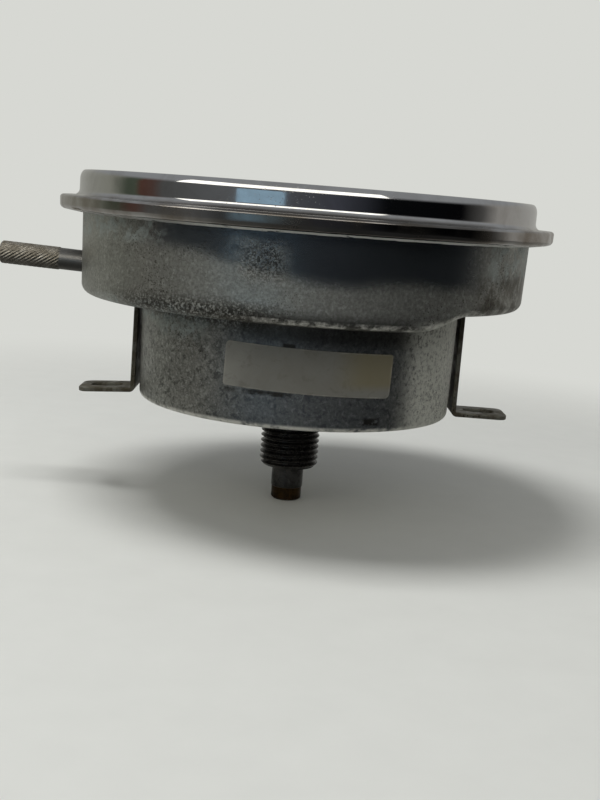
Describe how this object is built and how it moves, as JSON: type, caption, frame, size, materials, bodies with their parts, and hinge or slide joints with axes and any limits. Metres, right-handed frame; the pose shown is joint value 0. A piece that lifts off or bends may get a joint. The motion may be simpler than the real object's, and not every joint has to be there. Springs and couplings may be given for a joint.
{
  "type": "speedometer",
  "caption": "Round cable-driven speedometer with a chromed bezel, stepped die-cast case, bracket feet, trip-reset stem and threaded cable nipple.",
  "frame": {"origin": "on the instrument's axis, level with the back of the case and the undersides of the bracket feet", "axes": "+Z out of the dial, +Y the top of the dial, +X from the left bracket to the right one"},
  "size_m": [0.1449, 0.1284, 0.0844],
  "materials": {
    "case_alloy": "raw die cast, pitted",
    "chrome": "bright plated",
    "glass": "clear",
    "gasket_rubber": "matte",
    "dial_black": "satin black",
    "screw_steel": "dull",
    "nipple_steel": "blackened",
    "bush_brass": "tarnished",
    "frame_brass": "stamped",
    "field_iron": "bare",
    "spring_steel": "blued",
    "shaft_steel": "turned",
    "bracket_steel": "dull olive brown plating",
    "label_paper": "aged paper",
    "magnet_iron": "bare",
    "cup_aluminium": "drawn",
    "pointer_paint": "aged white",
    "cap_black": "gloss",
    "gear_brass": "cut",
    "knob_steel": "knurled, tarnished",
    "drum_white": "satin",
    "pinion_white": "satin"
  },
  "bodies": {
    "case": {"housing": "case_alloy", "bezel": "chrome", "lens": "glass", "lens_gasket": "gasket_rubber", "dial_ring": "dial_black", "dial": "dial_black", "dial_screws": "screw_steel", "stop_pin": "screw_steel", "cable_nipple": "nipple_steel", "drive_bush": "bush_brass", "movement_frame": "frame_brass", "frame_screws": "screw_steel", "bridge_pillars": "frame_brass", "spindle_bridge": "frame_brass", "bridge_screws": "screw_steel", "field_cup": "field_iron", "field_cup_posts": "frame_brass", "hairspring": "spring_steel", "hairspring_stud": "frame_brass", "total_shaft": "shaft_steel", "total_pinion_shaft": "shaft_steel", "trip_pinion_shaft": "shaft_steel", "lay_shaft_bearings": "frame_brass", "left_bracket": "bracket_steel", "right_bracket": "bracket_steel", "bracket_screws": "screw_steel", "rating_label": "label_paper", "reset_bush": "bush_brass"},
    "drive": {"drive_shaft": "shaft_steel", "magnet": "magnet_iron"},
    "needle": {"spindle": "shaft_steel", "speed_cup": "cup_aluminium", "pointer": "pointer_paint", "pointer_cap": "cap_black"},
    "lay": {"lay_shaft": "shaft_steel", "first_wheel": "gear_brass"},
    "total_train": {"total_idler": "gear_brass"},
    "trip_train": {"trip_idler": "gear_brass"},
    "reset": {"reset_knob": "knob_steel", "reset_gear": "gear_brass"},
    "reset_link": {"reset_idler": "gear_brass"},
    "trip_axle": {"trip_shaft": "shaft_steel", "trip_reset_gear": "gear_brass"},
    "total_wheel_1": {"total_drum_1": "drum_white"},
    "total_wheel_2": {"total_drum_2": "drum_white"},
    "total_wheel_3": {"total_drum_3": "drum_white"},
    "total_wheel_4": {"total_drum_4": "drum_white"},
    "total_wheel_5": {"total_drum_5": "drum_white"},
    "total_carry_1": {"total_pinion_1": "pinion_white"},
    "total_carry_2": {"total_pinion_2": "pinion_white"},
    "total_carry_3": {"total_pinion_3": "pinion_white"},
    "total_carry_4": {"total_pinion_4": "pinion_white"},
    "trip_wheel_1": {"trip_drum_1": "drum_white"},
    "trip_wheel_2": {"trip_drum_2": "drum_white"},
    "trip_wheel_3": {"trip_drum_3": "drum_white"},
    "trip_wheel_4": {"trip_drum_4": "drum_white"},
    "trip_carry_1": {"trip_pinion_1": "pinion_white"},
    "trip_carry_2": {"trip_pinion_2": "pinion_white"},
    "trip_carry_3": {"trip_pinion_3": "pinion_white"}
  },
  "joints": [
    {"name": "drive_spin", "type": "hinge", "parent": "case", "child": "drive", "pos_m": [0, 0, 0], "axis": [0, 0, 1], "continuous": true},
    {"name": "pointer_swing", "type": "hinge", "parent": "case", "child": "needle", "pos_m": [0, 0, 0], "axis": [0, 0, 1], "range_deg": [-240, 0], "stiffness_Nm_per_rad": 0.00005, "deforming": ["hairspring"]},
    {"name": "lay_turn", "type": "hinge", "parent": "case", "child": "lay", "pos_m": [0.018, 0, 0.0173], "axis": [0, 1, 0], "continuous": true},
    {"name": "total_idler_turn", "type": "hinge", "parent": "case", "child": "total_train", "pos_m": [0, 0.024, 0.0283], "axis": [1, 0, 0], "continuous": true},
    {"name": "total_drum_1_turn", "type": "hinge", "parent": "case", "child": "total_wheel_1", "pos_m": [0, 0.024, 0.0373], "axis": [1, 0, 0], "continuous": true},
    {"name": "total_drum_2_turn", "type": "hinge", "parent": "case", "child": "total_wheel_2", "pos_m": [0, 0.024, 0.0373], "axis": [1, 0, 0], "continuous": true},
    {"name": "total_drum_3_turn", "type": "hinge", "parent": "case", "child": "total_wheel_3", "pos_m": [0, 0.024, 0.0373], "axis": [1, 0, 0], "continuous": true},
    {"name": "total_drum_4_turn", "type": "hinge", "parent": "case", "child": "total_wheel_4", "pos_m": [0, 0.024, 0.0373], "axis": [1, 0, 0], "continuous": true},
    {"name": "total_drum_5_turn", "type": "hinge", "parent": "case", "child": "total_wheel_5", "pos_m": [0, 0.024, 0.0373], "axis": [1, 0, 0], "continuous": true},
    {"name": "total_pinion_1_turn", "type": "hinge", "parent": "case", "child": "total_carry_1", "pos_m": [0, 0.0324, 0.0373], "axis": [1, 0, 0], "continuous": true},
    {"name": "total_pinion_2_turn", "type": "hinge", "parent": "case", "child": "total_carry_2", "pos_m": [0, 0.0324, 0.0373], "axis": [1, 0, 0], "continuous": true},
    {"name": "total_pinion_3_turn", "type": "hinge", "parent": "case", "child": "total_carry_3", "pos_m": [0, 0.0324, 0.0373], "axis": [1, 0, 0], "continuous": true},
    {"name": "total_pinion_4_turn", "type": "hinge", "parent": "case", "child": "total_carry_4", "pos_m": [0, 0.0324, 0.0373], "axis": [1, 0, 0], "continuous": true},
    {"name": "trip_idler_turn", "type": "hinge", "parent": "case", "child": "trip_train", "pos_m": [0, -0.024, 0.0283], "axis": [1, 0, 0], "continuous": true},
    {"name": "trip_drum_1_turn", "type": "hinge", "parent": "case", "child": "trip_wheel_1", "pos_m": [0, -0.024, 0.0373], "axis": [1, 0, 0], "continuous": true},
    {"name": "trip_drum_2_turn", "type": "hinge", "parent": "case", "child": "trip_wheel_2", "pos_m": [0, -0.024, 0.0373], "axis": [1, 0, 0], "continuous": true},
    {"name": "trip_drum_3_turn", "type": "hinge", "parent": "case", "child": "trip_wheel_3", "pos_m": [0, -0.024, 0.0373], "axis": [1, 0, 0], "continuous": true},
    {"name": "trip_drum_4_turn", "type": "hinge", "parent": "case", "child": "trip_wheel_4", "pos_m": [0, -0.024, 0.0373], "axis": [1, 0, 0], "continuous": true},
    {"name": "trip_pinion_1_turn", "type": "hinge", "parent": "case", "child": "trip_carry_1", "pos_m": [0, -0.0324, 0.0373], "axis": [1, 0, 0], "continuous": true},
    {"name": "trip_pinion_2_turn", "type": "hinge", "parent": "case", "child": "trip_carry_2", "pos_m": [0, -0.0324, 0.0373], "axis": [1, 0, 0], "continuous": true},
    {"name": "trip_pinion_3_turn", "type": "hinge", "parent": "case", "child": "trip_carry_3", "pos_m": [0, -0.0324, 0.0373], "axis": [1, 0, 0], "continuous": true},
    {"name": "reset_turn", "type": "hinge", "parent": "case", "child": "reset", "pos_m": [-0.0581, 0, 0.0334], "axis": [0.9992, 0, -0.0401], "continuous": true},
    {"name": "reset_idler_turn", "type": "hinge", "parent": "case", "child": "reset_link", "pos_m": [-0.026, -0.012, 0.03471], "axis": [1, 0, 0], "continuous": true},
    {"name": "trip_axle_turn", "type": "hinge", "parent": "case", "child": "trip_axle", "pos_m": [0, -0.024, 0.0373], "axis": [1, 0, 0], "continuous": true}
  ],
  "couplings": [
    {"joint": "lay_turn", "follows": "drive_spin", "ratio": -0.05},
    {"joint": "total_idler_turn", "follows": "drive_spin", "ratio": 0.002},
    {"joint": "total_drum_1_turn", "follows": "drive_spin", "ratio": -0.001},
    {"joint": "total_drum_2_turn", "follows": "drive_spin", "ratio": -0.0001},
    {"joint": "total_drum_3_turn", "follows": "drive_spin", "ratio": -0.00001},
    {"joint": "total_drum_4_turn", "follows": "drive_spin", "ratio": -0.000001},
    {"joint": "total_drum_5_turn", "follows": "drive_spin", "ratio": -0.0000001},
    {"joint": "total_pinion_1_turn", "follows": "drive_spin", "ratio": 0.00025},
    {"joint": "total_pinion_2_turn", "follows": "drive_spin", "ratio": 0.000025},
    {"joint": "total_pinion_3_turn", "follows": "drive_spin", "ratio": 0.0000025},
    {"joint": "total_pinion_4_turn", "follows": "drive_spin", "ratio": 0.00000025},
    {"joint": "trip_idler_turn", "follows": "drive_spin", "ratio": 0.002},
    {"joint": "trip_drum_1_turn", "follows": "drive_spin", "ratio": -0.001},
    {"joint": "trip_drum_2_turn", "follows": "drive_spin", "ratio": -0.0001},
    {"joint": "trip_drum_3_turn", "follows": "drive_spin", "ratio": -0.00001},
    {"joint": "trip_drum_4_turn", "follows": "drive_spin", "ratio": -0.000001},
    {"joint": "trip_pinion_1_turn", "follows": "drive_spin", "ratio": 0.00025},
    {"joint": "trip_pinion_2_turn", "follows": "drive_spin", "ratio": 0.000025},
    {"joint": "trip_pinion_3_turn", "follows": "drive_spin", "ratio": 0.0000025},
    {"joint": "reset_idler_turn", "follows": "reset_turn", "ratio": -1.3333},
    {"joint": "trip_axle_turn", "follows": "reset_turn", "ratio": 1}
  ]
}
